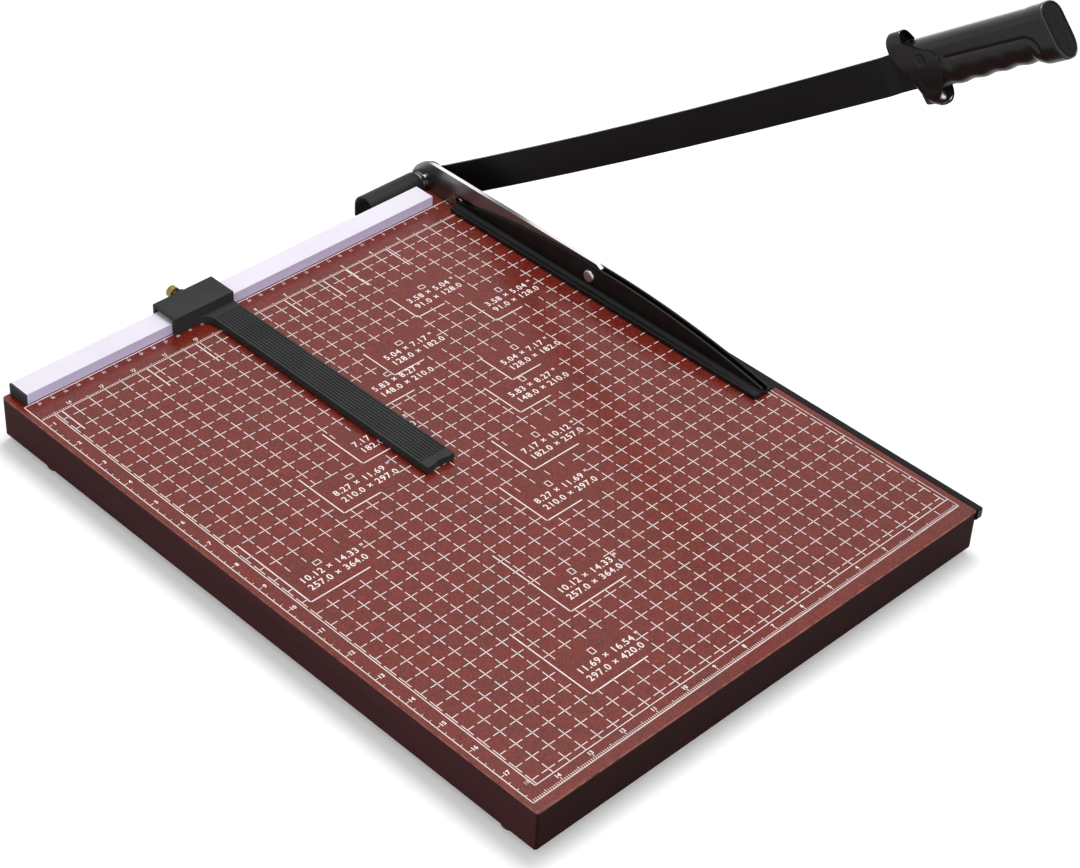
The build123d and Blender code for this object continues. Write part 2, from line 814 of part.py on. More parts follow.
handle_screw_seat = Plane(
    origin=lever_plane(handle_inner).from_local_coords((*handle_screw_at, 0)), z_dir=(-1, 0, 0)
)
flare_start = handle_end - flare_length
grip_bottom = -grip_axis_drop - grip_height / 2
flare_centre = grip_centre + flare_growth / 2
with BuildPart() as handle_grip:
    with BuildSketch(lever_plane(handle_inner)) as guard_profile:
        with BuildLine():
            Polyline(
                (guard_start, guard_top),
                (guard_start + guard_lean, -guard_bottom),
                (guard_start + guard_lean + guard_bottom_length, -guard_bottom),
                (guard_start + guard_top_length, guard_top),
                close=True,
            )
        make_face()
        fillet(guard_profile.vertices(), radius=guard_corner_radius)
    extrude(amount=-guard_width)
    guard_rim = handle_grip.faces().sort_by(Axis.X)[-1].edges()
    fillet(guard_rim, radius=guard_edge_radius)
    with BuildSketch(grip_plane(grip_start)):
        with Locations((grip_centre, -grip_axis_drop)):
            RectangleRounded(grip_width, grip_height, grip_corner_radius)
    extrude(amount=flare_start - grip_start)
    with BuildSketch(grip_plane(flare_start)):
        with Locations((grip_centre, -grip_axis_drop)):
            RectangleRounded(grip_width, grip_height, grip_corner_radius)
    with BuildSketch(grip_plane(handle_end)):
        with Locations((flare_centre, -grip_axis_drop)):
            RectangleRounded(
                grip_width + flare_growth, grip_height + 2 * flare_growth, grip_corner_radius
            )
    loft()
    with BuildSketch(lever_plane(handle_inner)):
        for i in range(scallop_count):
            station = guard_start + scallop_first + i * scallop_pitch
            with Locations((station, grip_bottom - scallop_radius + scallop_depth)):
                Circle(scallop_radius)
    extrude(amount=-grip_width, mode=Mode.SUBTRACT)
    with BuildSketch(grip_plane(handle_end)):
        with Locations((flare_centre, -grip_axis_drop)):
            RectangleRounded(end_cap_width, end_cap_height, grip_corner_radius - end_recess_rim)
    extrude(amount=-end_recess_depth, mode=Mode.SUBTRACT)
    with BuildSketch(grip_plane(guard_start)):
        with Locations(((tang_inner + tang_outer) / 2, tang_rise)):
            Rectangle(lever_thickness + 2 * seat_gap, tang_width + 2 * seat_gap)
    extrude(amount=tang_end + seat_gap - guard_start, mode=Mode.SUBTRACT)
    with BuildSketch(grip_plane(guard_start)):
        with Locations(((tang_inner + tang_outer) / 2, lever_top_end + seat_gap)):
            Rectangle(
                lever_thickness + 2 * seat_gap,
                lever_top_end + lever_edge_middle,
                align=(Align.CENTER, Align.MAX),
            )
    extrude(amount=lever_blade_length + seat_gap - guard_start, mode=Mode.SUBTRACT)
    with BuildSketch(lever_plane(handle_inner)):
        with Locations((guard_start + side_groove_start, -side_groove_drop)):
            Rectangle(
                side_groove_end - side_groove_start, side_groove_width, align=(Align.MIN, Align.CENTER)
            )
        with Locations((guard_start + side_groove_end, -side_groove_drop + side_groove_width / 2)):
            Rectangle(side_groove_width, side_groove_turn, align=(Align.CENTER, Align.MAX))
    extrude(amount=-side_groove_depth, mode=Mode.SUBTRACT)
    with BuildSketch(lever_plane(handle_inner)):
        with Locations(handle_screw_at):
            Circle(screw_shank_radius + screw_clearance)
    extrude(amount=-guard_width, mode=Mode.SUBTRACT)
    with BuildSketch(handle_screw_seat):
        Circle(handle_screw_head_radius + screw_clearance)
    with BuildSketch(handle_screw_seat.offset(screw_shank_radius - handle_screw_head_radius)):
        Circle(screw_shank_radius + screw_clearance)
    loft(mode=Mode.SUBTRACT)
    with BuildSketch(lever_plane(handle_nut_x)):
        with Locations(handle_screw_at):
            RegularPolygon(handle_nut_flats / 2 + seat_gap, 6, major_radius=False)
    extrude(amount=-guard_width, mode=Mode.SUBTRACT)
handle_grip.part.label = "handle_grip"
export_step(handle_grip.part, "parts/handle_grip.step")

with BuildPart() as handle_end_cap:
    with BuildSketch(grip_plane(handle_end - end_recess_depth)):
        with Locations((flare_centre, -grip_axis_drop)):
            RectangleRounded(
                end_cap_width - 2 * seat_gap,
                end_cap_height - 2 * seat_gap,
                grip_corner_radius - end_recess_rim,
            )
    extrude(amount=end_cap_thickness)
handle_end_cap.part.label = "handle_end_cap"
export_step(handle_end_cap.part, "parts/handle_end_cap.step")

grip_screw = countersunk_screw(
    handle_nut_x + handle_nut_height - handle_inner, handle_screw_head_radius
)
with BuildPart() as handle_screw:
    with Locations(handle_screw_seat.location):
        add(grip_screw)
handle_screw.part.label = "handle_screw"
export_step(handle_screw.part, "parts/handle_screw.step")

with BuildPart() as handle_nut:
    with BuildSketch(lever_plane(handle_nut_x)):
        with Locations(handle_screw_at):
            RegularPolygon(handle_nut_flats / 2, 6, major_radius=False)
            Circle(screw_shank_radius + screw_clearance, mode=Mode.SUBTRACT)
    extrude(amount=-handle_nut_height)
handle_nut.part.label = "handle_nut"
export_step(handle_nut.part, "parts/handle_nut.step")

# ---- Paper stop: saddle over the rail with a ribbed arm, hollow from below ----

with BuildPart() as paper_stop:
    with BuildSketch(side_plane(stop_left)):
        with Locations((stop_front, stop_top)):
            Rectangle(stop_back - stop_front, stop_top_thickness, align=(Align.MIN, Align.MAX))
            Rectangle(stop_front_leg, stop_top - stop_foot, align=(Align.MIN, Align.MAX))
        with Locations((stop_back, stop_top)):
            Rectangle(stop_back_leg, stop_top - stop_hook, align=(Align.MAX, Align.MAX))
    extrude(amount=stop_width)
    fillet(paper_stop.faces().sort_by(Axis.Z)[-1].edges(), radius=stop_edge_radius)
    with BuildSketch(Plane.XY.offset(stop_ceiling)):
        for rib_x in (stop_left + stop_rib_inset, stop_right - stop_rib_inset):
            with Locations((rib_x, stop_front)):
                Rectangle(stop_rib_width, stop_back - stop_front, align=(Align.CENTER, Align.MIN))
    extrude(amount=rail_top + moving_gap - stop_ceiling)
    with BuildSketch(Plane.XY.offset(board_top + arm_plate_lift)):
        with Locations((stop_right, stop_front)):
            Rectangle(arm_plate_width, arm_plate_length, align=(Align.MAX, Align.MAX))
    extrude(amount=arm_plate_height - arm_plate_lift)
    upright_edges = paper_stop.edges().filter_by(Axis.Z)
    root_edge = upright_edges.sort_by_distance((arm_plate_left, stop_front, board_top))[0]
    fillet(root_edge, radius=arm_root_fillet)
    with BuildSketch(Plane.XY.offset(board_top + arm_plate_lift)):
        with Locations((arm_plate_centre, arm_plate_end + arm_plate_wall)):
            Rectangle(
                arm_plate_width - 2 * arm_plate_wall,
                arm_plate_length - 2 * arm_plate_wall,
                align=(Align.CENTER, Align.MIN),
            )
    extrude(amount=arm_plate_height - arm_plate_lift - arm_plate_wall, mode=Mode.SUBTRACT)
    with BuildSketch(Plane.XY.offset(arm_plate_top)):
        for i in range(arm_groove_count):
            groove_x = arm_plate_centre + (i - (arm_groove_count - 1) / 2) * arm_groove_pitch
            with Locations((groove_x, arm_plate_end + arm_groove_margin)):
                Rectangle(
                    arm_groove_width,
                    arm_plate_length - 2 * arm_groove_margin,
                    align=(Align.CENTER, Align.MIN),
                )
    extrude(amount=-arm_groove_depth, mode=Mode.SUBTRACT)
    with BuildSketch(Plane.XY.offset(board_top)):
        with Locations((arm_plate_centre, arm_plate_end + nose_notch_depth - nose_notch_radius)):
            Circle(nose_notch_radius)
    extrude(amount=arm_plate_height, mode=Mode.SUBTRACT)
    with BuildSketch(back_plane(stop_back)):
        with Locations((-stop_offset, thumb_z)):
            Circle(boss_radius)
    extrude(amount=boss_length)
    with BuildSketch(back_plane(boss_end)):
        with Locations((-stop_offset, thumb_z)):
            Circle(insert_radius + screw_clearance)
    extrude(amount=-(boss_length + stop_back_leg), mode=Mode.SUBTRACT)
paper_stop.part.label = "paper_stop"
export_step(paper_stop.part, "parts/paper_stop.step")

insert_plane = Plane(origin=(stop_offset, boss_end, thumb_z), z_dir=(0, -1, 0))
thumb_insert = ring(
    insert_plane, thumb_shank_radius + running_clearance, insert_radius, boss_length + stop_back_leg
)
thumb_insert.label = "thumb_insert"
export_step(thumb_insert, "parts/thumb_insert.step")

with BuildPart() as thumb_screw:
    with BuildSketch(back_plane(rail_back + moving_gap)):
        with Locations((-stop_offset, thumb_z)):
            Circle(thumb_shank_radius)
    extrude(amount=thumb_head_start - rail_back - moving_gap)
    with BuildSketch(back_plane(thumb_head_start)):
        with Locations((-stop_offset, thumb_z)):
            Circle(thumb_head_radius)
            with PolarLocations(thumb_head_radius, thumb_flute_count):
                Circle(thumb_flute_radius, mode=Mode.SUBTRACT)
    extrude(amount=thumb_head_length)
thumb_screw.part.label = "thumb_screw"
export_step(thumb_screw.part, "parts/thumb_screw.step")
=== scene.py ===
import json
import math

import bmesh
import bpy
from mathutils import Matrix, Vector


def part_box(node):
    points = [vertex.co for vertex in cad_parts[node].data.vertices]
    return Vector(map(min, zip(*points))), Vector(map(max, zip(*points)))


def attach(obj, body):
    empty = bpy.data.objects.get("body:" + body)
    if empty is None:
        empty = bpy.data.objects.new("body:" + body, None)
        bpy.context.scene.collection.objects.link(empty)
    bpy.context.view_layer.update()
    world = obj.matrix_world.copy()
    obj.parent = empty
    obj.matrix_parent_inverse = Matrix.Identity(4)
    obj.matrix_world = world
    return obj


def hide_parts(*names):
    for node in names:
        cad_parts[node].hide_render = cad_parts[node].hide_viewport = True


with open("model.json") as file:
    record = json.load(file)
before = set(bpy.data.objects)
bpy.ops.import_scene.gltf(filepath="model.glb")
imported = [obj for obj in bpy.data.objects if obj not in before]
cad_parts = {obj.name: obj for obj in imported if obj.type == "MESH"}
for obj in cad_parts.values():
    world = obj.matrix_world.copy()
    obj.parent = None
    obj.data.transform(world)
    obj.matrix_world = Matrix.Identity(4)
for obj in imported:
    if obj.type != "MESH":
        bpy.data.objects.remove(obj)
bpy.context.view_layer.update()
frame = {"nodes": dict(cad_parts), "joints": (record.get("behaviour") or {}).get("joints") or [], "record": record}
print("frame loaded,", len(frame["nodes"]), "nodes")

mm = 0.001
inch = 0.0254
cmPerInch = 2.54
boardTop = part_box("base_board")[1].z


def hue(red, green, blue):
    # screen values from 0 to 255, given to the shader as linear light
    linear = []
    for value in (red, green, blue):
        share = value / 255
        linear.append(share / 12.92 if share <= 0.04045 else ((share + 0.055) / 1.055) ** 2.4)
    return (*linear, 1.0)


class Wire:
    # one output socket, so that shader sums read as sums
    def __init__(self, paint, socket):
        self.paint = paint
        self.socket = socket

    def __add__(self, other):
        return self.paint.maths("ADD", self, other)

    def __radd__(self, other):
        return self.paint.maths("ADD", other, self)

    def __sub__(self, other):
        return self.paint.maths("SUBTRACT", self, other)

    def __rsub__(self, other):
        return self.paint.maths("SUBTRACT", other, self)

    def __mul__(self, other):
        return self.paint.maths("MULTIPLY", self, other)

    def __rmul__(self, other):
        return self.paint.maths("MULTIPLY", other, self)


class Paint:
    # the nodes of one material, or of the sky
    def __init__(self, owner):
        self.owner = owner
        owner.use_nodes = True
        self.tree = owner.node_tree
        self.tree.nodes.clear()
        self.place = self.node("ShaderNodeTexCoord", {}, {}, "Object")
        self.facing = self.node("ShaderNodeTexCoord", {}, {}, "Normal")

    def node(self, kind, settings, inputs, output=0):
        made = self.tree.nodes.new(kind)
        for key, value in settings.items():
            setattr(made, key, value)
        for key, value in inputs.items():
            if isinstance(value, Wire):
                self.tree.links.new(value.socket, made.inputs[key])
            elif value is not None:
                made.inputs[key].default_value = value
        return Wire(self, made.outputs[output]) if made.outputs else made

    def maths(self, operation, first, second=None):
        return self.node("ShaderNodeMath", {"operation": operation}, {0: first, 1: second})

    def axis(self, vector, letter):
        return self.node("ShaderNodeSeparateXYZ", {}, {0: vector}, letter)

    def stretched(self, scales):
        settings = {"operation": "MULTIPLY"}
        return self.node("ShaderNodeVectorMath", settings, {0: self.place, 1: scales})

    def noise(self, scale, detail, roughness, vector=None):
        inputs = {"Vector": vector or self.place, "Scale": scale, "Detail": detail, "Roughness": roughness}
        return self.node("ShaderNodeTexNoise", {}, inputs)

    def span(self, value, low, high, toLow=0.0, toHigh=1.0):
        inputs = {0: value, 1: low, 2: high, 3: toLow, 4: toHigh}
        return self.node("ShaderNodeMapRange", {"clamp": True}, inputs)

    def blend(self, share, first, second):
        settings = {"data_type": "RGBA", "blend_type": "MIX"}
        return self.node("ShaderNodeMix", settings, {0: share, 6: first, 7: second}, 2)

    def bump(self, height, depth):
        return self.node("ShaderNodeBump", {}, {"Height": height, "Distance": depth, "Strength": 1.0})

    def finish(self, inputs):
        surface = self.node("ShaderNodeBsdfPrincipled", {}, inputs)
        self.node("ShaderNodeOutputMaterial", {}, {"Surface": surface})
        return self.owner


# a noise is given as scale, detail and roughness, and a span as two input levels, with two
# output levels where those aren't 0 and 1
boardPaint = {
    "top": hue(107, 29, 18),
    "topRed": hue(127, 33, 19),
    "topGrey": hue(90, 33, 28),
    "fleckDark": hue(74, 15, 10),
    "fleckPale": hue(138, 50, 34),
    "side": hue(68, 33, 35),
    "sideDark": hue(50, 24, 26),
    # painted shade: the faces that look to the front and back take these darker colours
    "shadedEnd": hue(37, 9, 9),
    "shadedEndDark": hue(27, 5, 5),
    "paleEdge": hue(162, 104, 92),
    "topFacing": (0.7, 0.98),
    "shadedEndFacing": (0.3, 0.8),
    "patchNoise": (180.0, 4.0, 0.65), "patchSpan": (0.42, 0.64),
    "driftNoise": (36.0, 2.0, 0.5), "driftSpan": (0.5, 0.75, 0.0, 0.6),
    "fleckNoise": (1100.0, 3.0, 0.75),
    "darkSpan": (0.36, 0.5, 0.9, 0.0), "paleSpan": (0.5, 0.64, 0.0, 0.9),
    "grainNoise": (60.0, 5.0, 0.65), "grainStretch": (1.0, 0.08, 2.0), "grainSpan": (0.3, 0.7),
    "edgeNoise": (180.0, 3.0, 0.6), "edgeSpan": (0.25, 0.6, 0.25, 1.0),
    "edgeBand": (1.5 * mm, 0.8 * mm),  # depths below the top
    "roughSpan": (0.3, 0.7, 0.45, 0.58),
    "reliefNoise": (1400.0, 2.0, 0.5), "reliefDepth": 0.02 * mm,
    "specular": 0.03,
    "coat": 0.8,
    "coatRoughness": 0.24,
}


def paintBoard(settings):
    # lacquered top with patches and flecks, plain stained sides, and a painted shade on the faces that look to the
    # front and back
    paint = Paint(bpy.data.materials.new("board_lacquer"))
    up = paint.span(paint.axis(paint.facing, 2), *settings["topFacing"])
    patches = paint.noise(*settings["patchNoise"])
    drift = paint.noise(*settings["driftNoise"])
    flecks = paint.noise(*settings["fleckNoise"])
    top = paint.blend(paint.span(patches, *settings["patchSpan"]), settings["top"], settings["topRed"])
    top = paint.blend(paint.span(drift, *settings["driftSpan"]), top, settings["topGrey"])
    top = paint.blend(paint.span(flecks, *settings["darkSpan"]), top, settings["fleckDark"])
    top = paint.blend(paint.span(flecks, *settings["paleSpan"]), top, settings["fleckPale"])
    grain = paint.noise(*settings["grainNoise"], paint.stretched(settings["grainStretch"]))
    light = paint.span(grain, *settings["grainSpan"])
    side = paint.blend(light, settings["sideDark"], settings["side"])
    # a darker copy of the sides with the same grain, a painted shade on the faces that look to the front or back
    end = paint.blend(light, settings["shadedEndDark"], settings["shadedEnd"])
    across = paint.maths("ABSOLUTE", paint.axis(paint.facing, 1))
    side = paint.blend(paint.span(across, *settings["shadedEndFacing"]), side, end)
    # a paler band just under the top edge of the sides, broken up by noise
    below, above = (boardTop - depth for depth in settings["edgeBand"])
    breakup = paint.noise(*settings["edgeNoise"])
    edge = paint.span(paint.axis(paint.place, 2), below, above) * paint.span(breakup, *settings["edgeSpan"])
    side = paint.blend(edge, side, settings["paleEdge"])
    relief = paint.noise(*settings["reliefNoise"])
    return paint.finish(
        {
            "Base Color": paint.blend(up, side, top),
            "Roughness": paint.span(flecks, *settings["roughSpan"]),
            "Specular IOR Level": settings["specular"],
            "Coat Weight": up * settings["coat"],
            "Coat Roughness": settings["coatRoughness"],
            "Normal": paint.bump(relief, settings["reliefDepth"]),
        }
    )


# detail and roughness of the two noises in every plain finish, the spans over which the noises and
# the directions of the faces for painted shade count, and what holds where a finish doesn't say otherwise
plainShared = {
    "driftNoise": (3.0, 0.55), "driftSpan": (0.35, 0.65),
    "grainNoise": (3.0, 0.65), "grainSpan": (0.3, 0.7),
    "uprightShadeSpan": (0.3, 0.8), "frontShadeSpan": (0.5, 0.9), "backShadeSpan": (0.03, 0.3),
    "stretch": (1.0, 1.0, 1.0), "metallic": 0.0, "specular": 0.5,
}


def paintPlain(name, finish):
    # one finish with a slow drift, fine grain and a light relief; faces that stand upright
    # or look to the front or back may take other colours as painted shade, and faces that look up may carry a coat
    settings = {**plainShared, **finish}
    paint = Paint(bpy.data.materials.new(name))
    drift = paint.noise(settings["drift"], *settings["driftNoise"])
    grain = paint.noise(settings["grain"], *settings["grainNoise"], paint.stretched(settings["stretch"]))
    rearward, up = paint.axis(paint.facing, 1), paint.axis(paint.facing, 2)
    colour = paint.blend(paint.span(drift, *settings["driftSpan"]), settings["dark"], settings["light"])
    # painted shade: upright faces, and faces that look to the front or back, take their own colours
    if "upright" in settings:
        colour = paint.blend(paint.span(up, *settings["uprightShadeSpan"]), settings["upright"], colour)
    if "front" in settings:
        colour = paint.blend(paint.span(0 - rearward, *settings["frontShadeSpan"]), colour, settings["front"])
    if "back" in settings:
        colour = paint.blend(paint.span(rearward, *settings["backShadeSpan"]), colour, settings["back"])
    inputs = {
        "Base Color": colour,
        "Roughness": paint.span(grain, *settings["grainSpan"], *settings["roughness"]),
        "Normal": paint.bump(grain, settings["relief"] * mm),
        "Metallic": settings["metallic"],
        "Specular IOR Level": settings["specular"],
    }
    if "coatUp" in settings:
        inputs["Coat Weight"] = paint.span(up, *settings["coatUp"])
        inputs["Coat Roughness"] = settings["coatRoughness"]
    return paint.finish(inputs)


# relief is in millimetres
plainPaints = {
    "print_ink": {
        "light": hue(255, 246, 244), "dark": hue(246, 232, 228), "drift": 90.0,
        "grain": 1500.0, "roughness": (0.5, 0.65), "relief": 0.01, "specular": 0.2,
    },
    "print_faint": {
        "light": hue(222, 192, 188), "dark": hue(196, 160, 156), "drift": 120.0,
        "grain": 1500.0, "roughness": (0.5, 0.65), "relief": 0.01, "specular": 0.2,
    },
    "rubber": {
        "light": hue(34, 34, 34), "dark": hue(24, 24, 24), "drift": 60.0,
        "grain": 900.0, "roughness": (0.75, 0.9), "relief": 0.05,
    },
    "blade_lacquer": {
        "light": hue(14, 13, 14), "dark": hue(8, 8, 9), "drift": 40.0,
        "grain": 700.0, "roughness": (0.38, 0.48), "relief": 0.003, "specular": 0.12,
    },
    "clamp_lacquer": {
        "light": hue(17, 17, 17), "dark": hue(10, 10, 10), "drift": 40.0,
        "grain": 700.0, "roughness": (0.32, 0.44), "relief": 0.008, "specular": 0.22,
    },
    "cover_lacquer": {
        "light": hue(19, 20, 20), "dark": hue(12, 12, 12), "drift": 60.0,
        "grain": 800.0, "roughness": (0.46, 0.58), "relief": 0.01, "specular": 0.25,
    },
    "bright_steel": {
        "light": hue(190, 190, 194), "dark": hue(165, 165, 168), "drift": 30.0,
        "grain": 500.0, "stretch": (1.0, 0.03, 1.0), "roughness": (0.26, 0.4),
        "relief": 0.006, "metallic": 1.0,
    },
    # faces that look up are painted near white as a painted highlight, and the upright, front and back faces
    # darker as painted shade and a darker painted reflection
    "arm_steel_painted_light": {
        "light": hue(250, 250, 252), "dark": hue(234, 234, 238), "drift": 30.0,
        "upright": hue(136, 136, 133), "front": hue(50, 44, 44), "back": hue(70, 70, 71),
        "grain": 500.0, "stretch": (1.0, 0.03, 1.0), "roughness": (0.26, 0.32),
        "relief": 0.001, "metallic": 1.0,
    },
    "zinc_plate": {
        "light": hue(196, 196, 196), "dark": hue(160, 160, 162), "drift": 120.0,
        "grain": 900.0, "roughness": (0.25, 0.42), "relief": 0.01, "metallic": 1.0,
    },
    # the upright faces are painted bluer and a little darker than the top, a painted cool shade
    "rail_coat_painted_shade": {
        "light": hue(241, 236, 248), "dark": hue(237, 231, 244), "drift": 20.0,
        "upright": hue(222, 220, 255),
        "grain": 800.0, "stretch": (0.03, 1.0, 1.0), "roughness": (0.36, 0.46), "relief": 0.006,
    },
    "stop_plastic": {
        "light": hue(48, 50, 50), "dark": hue(38, 39, 39), "drift": 30.0,
        "grain": 1100.0, "roughness": (0.55, 0.68), "relief": 0.03, "specular": 0.22,
    },
    "handle_plastic": {
        "light": hue(14, 13, 13), "dark": hue(8, 7, 7), "drift": 30.0,
        "grain": 300.0, "roughness": (0.22, 0.28), "relief": 0.003, "specular": 0.3,
        "coatUp": (0.35, 0.85), "coatRoughness": 0.16,
    },
    "hollow_plastic": {
        "light": hue(22, 22, 22), "dark": hue(12, 12, 12), "drift": 120.0,
        "grain": 500.0, "roughness": (0.6, 0.75), "relief": 0.02, "specular": 0.15,
    },
    "cap_plastic": {
        "light": hue(18, 20, 23), "dark": hue(4, 5, 6), "drift": 520.0,
        "grain": 420.0, "roughness": (0.4, 0.6), "relief": 0.12, "specular": 0.13,
    },
    "brass": {
        "light": hue(176, 158, 104), "dark": hue(136, 116, 70), "drift": 200.0,
        "grain": 900.0, "roughness": (0.3, 0.45), "relief": 0.01, "metallic": 1.0,
    },
}
paints = {name: paintPlain(name, settings) for name, settings in plainPaints.items()}
paints["board"] = paintBoard(boardPaint)

slotPaints = {
    "board": "board",
    "rubber_black": "rubber",
    "blade_black": "blade_lacquer",
    "bright_steel": "bright_steel",
    "zinc_steel": "zinc_plate",
    "clamp_black": "clamp_lacquer",
    "rail_white": "rail_coat_painted_shade",
    "plastic_black": "stop_plastic",
    "handle_black": "handle_plastic",
    "brass": "brass",
}
ownPaints = {
    "clamp_arm": "arm_steel_painted_light",
    "spring_cover": "cover_lacquer",
    "arm_washer": "arm_steel_painted_light",
    "pivot_spacer": "arm_steel_painted_light",
    "handle_screw": "cover_lacquer",
}
for subpart in frame["record"]["subparts"]:
    node = frame["nodes"][subpart["node"]]
    paintName = ownPaints.get(subpart["node"], slotPaints[subpart["material_slot"]])
    node.data.materials.clear()
    node.data.materials.append(paints[paintName])
print("finishes on the frame's nodes")


# places and lengths are in inches where they aren't given in mm; inches count from the cutting
# edge and from a line just before the rail
printed = {
    "railGap": 1.4 * mm, "lift": 0.04 * mm,
    "fineLine": 0.4 * mm,
    "line": 0.58 * mm,
    "tickLine": 0.46 * mm,
    "border": 0.62 * mm,
    "boldLine": 0.85 * mm,
    "left": 14.95, "right": 0.39, "front": 18.0,
    "skew": 0.0075,  # the print is laid on a trifle askew
    "overrun": (0.01, 0.012),  # the left border passes the back and front ones
    "innerLeft": 14.56, "innerFront": 17.66, "secondRuler": 0.705,
    "rows": (2, 35), "columns": (1, 29),  # first and last lines of the grid, every half inch
    "dash": 0.2,
    "ticks": (0.085, 0.12, 0.15), "tickTrim": 0.02,  # sixteenths, halves and whole inches
    "sideTicks": (0.065, 0.11),  # quarters and whole inches
    "centimetres": range(2, 38), "centimetreTick": 0.06,
    "shortLines": 1.65, "bracketStop": 0.5,
    "edgeMarks": (14.35, 16.5), "edgeReach": 0.35,
    "labelWide": 1.95, "labelHigh": 1.2, "labelSpacing": 1.13,
    "inchLabel": (0.27, 0.585), "metricLabel": (0.28, 0.28),
    "sheetWide": 3.4 * mm, "sheetHigh": 4.6 * mm, "sheetPlace": (1.0, 0.88),
    # height and weight of the digits, both in millimetres
    "labelDigits": (4.9, 0.1),
    "sideDigits": (2.9, 0.14), "frontDigits": (2.7, 0.13),
    "backDigits": (2.5, 0.08), "centimetreDigits": (1.9, 0.03),
    # distances of the rows of numbers: from the left border, and from the fence
    "sideNumbers": 0.19, "frontNumbers": 17.79, "backNumbers": 0.535, "centimetreNumbers": 0.13,
    "eighteen": ("18", 14.64, 17.48, 2.5, 0.1),  # in the corner, and fainter
    "digitShare": 0.7,  # of the font's size
    "curveSteps": 3,
    # printed paper sizes in millimetres, with the lengths in inches of the corner's two arms
    "papers": {
        (91, 128): (1.05, 0.95), (128, 182): (1.2, 1.01), (148, 210): (1.33, 1.07),
        (182, 257): (1.51, 1.55), (210, 297): (1.67, 1.18), (257, 364): (2.6, 1.82),
        (297, 420): (2.6, 1.82),
    },
}
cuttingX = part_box("fixed_blade")[1].x
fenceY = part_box("fence_rail")[0].y - printed["railGap"]


def onBoard(across, down):
    # from the print's inches to the frame
    skewed = down * (1 - printed["skew"] * (1 - across / printed["left"]))
    return Vector((cuttingX - across * inch, fenceY - skewed * inch, boardTop + printed["lift"]))


def makePrint(name, strokes):
    # each stroke is a flat bar: two ends in inches and a width
    mesh = bmesh.new()
    for start, end, width in strokes:
        a, b = onBoard(*start), onBoard(*end)
        along = (b - a).normalized()
        side = Vector((-along.y, along.x, 0)) * width / 2
        corners = [a - side, b - side, b + side, a + side]
        mesh.faces.new([mesh.verts.new(corner) for corner in corners])
    return keepPiece(name, mesh, "print_ink", "base")


def keepPiece(name, mesh, paintName, body):
    data = bpy.data.meshes.new(name)
    mesh.to_mesh(data)
    mesh.free()
    data.materials.append(paints[paintName])
    piece = bpy.data.objects.new(name, data)
    bpy.context.scene.collection.objects.link(piece)
    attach(piece, body)
    return piece


def paperCorners():
    # corner of each printed paper size, upright sheets first
    papers = list(printed["papers"])
    upright = [(short * mm / inch, long * mm / inch, short, long) for short, long in papers]
    lying = [(long * mm / inch, short * mm / inch, short, long) for short, long in papers[:-1]]
    return upright + lying  # the largest doesn't fit lying


def insideLabel(across, down):
    wide, high = printed["labelWide"], printed["labelHigh"]
    return any(x - wide < across < x and y - high < down < y for x, y, *_ in paperCorners())


def gridStrokes():
    # crosses at every half inch, left out behind the labels; the outer rows reach to the lines
    strokes = []
    dash = printed["dash"]
    (firstRow, lastRow), (firstColumn, lastColumn) = printed["rows"], printed["columns"]
    for row in range(firstRow, lastRow + 1):
        for column in range(firstColumn, lastColumn + 1):
            x, y = column / 2, row / 2
            for dx, dy in [(dash, 0), (-dash, 0), (0, dash), (0, -dash)]:
                outside = column == lastColumn and dx > 0 or column == firstColumn and dx < 0
                if outside or insideLabel(x + dx / 2, y + dy / 2):
                    continue
                endY = y + dy
                if row == firstRow and dy < 0:
                    endY = printed["secondRuler"]
                if row == lastRow and dy > 0:
                    endY = printed["innerFront"]
                strokes.append(((x, y), (x + dx, endY), printed["line"]))
    return strokes


def rulerStrokes():
    left, right, front = printed["left"], printed["right"], printed["front"]
    border, fine, tick = printed["border"], printed["fineLine"], printed["tickLine"]
    second, innerFront, innerLeft = printed["secondRuler"], printed["innerFront"], printed["innerLeft"]
    backOver, frontOver = printed["overrun"]
    strokes = [
        ((left, 0), (right, 0), border),
        ((left, -backOver), (left, front + frontOver), border),
        ((left, front), (right, front), border),
        ((right, front), (right, 0), fine),
        ((innerLeft, second), (innerLeft, innerFront), border),
        ((innerLeft, innerFront), (right, innerFront), printed["line"]),
        ((left, second), (right, second), fine),
    ]
    short, whole = printed["sideTicks"]
    for quarter in range(4, math.floor(front * 4)):
        reach = whole if quarter % 4 == 0 else short
        strokes.append(((left, quarter / 4), (left - reach, quarter / 4), tick))
    short, half, whole = printed["ticks"]
    for sixteenth in range(math.ceil(right * 16), math.floor(left * 16)):
        x = sixteenth / 16
        reach = whole if sixteenth % 16 == 0 else half if sixteenth % 8 == 0 else short
        strokes.append(((x, front), (x, front - reach), tick))
        strokes.append(((x, second), (x, second - reach + printed["tickTrim"]), tick))
    for centimetre in printed["centimetres"]:
        x = centimetre / cmPerInch
        strokes.append(((x, 0), (x, printed["centimetreTick"]), fine))
    return strokes


def bracketStrokes():
    # corners of the paper sizes, and short lines where their edges meet the ruler
    strokes = []
    bold = printed["boldLine"]
    half = bold / 2 / inch
    for x, y, short, long in paperCorners():
        up, across = printed["papers"][short, long]
        strokes.append(((x, y + half), (x, y - min(up, y - printed["secondRuler"])), bold))
        strokes.append(((x + half, y), (max(x - across, printed["bracketStop"]), y), bold))
    marks = sorted(set(round(corner[0], 3) for corner in paperCorners()))
    for x in marks:
        strokes.append(((x, printed["secondRuler"]), (x, printed["shortLines"]), bold))
    for y in printed["edgeMarks"]:
        strokes.append(((printed["right"], y), (printed["right"] + printed["edgeReach"], y), bold))
    return strokes


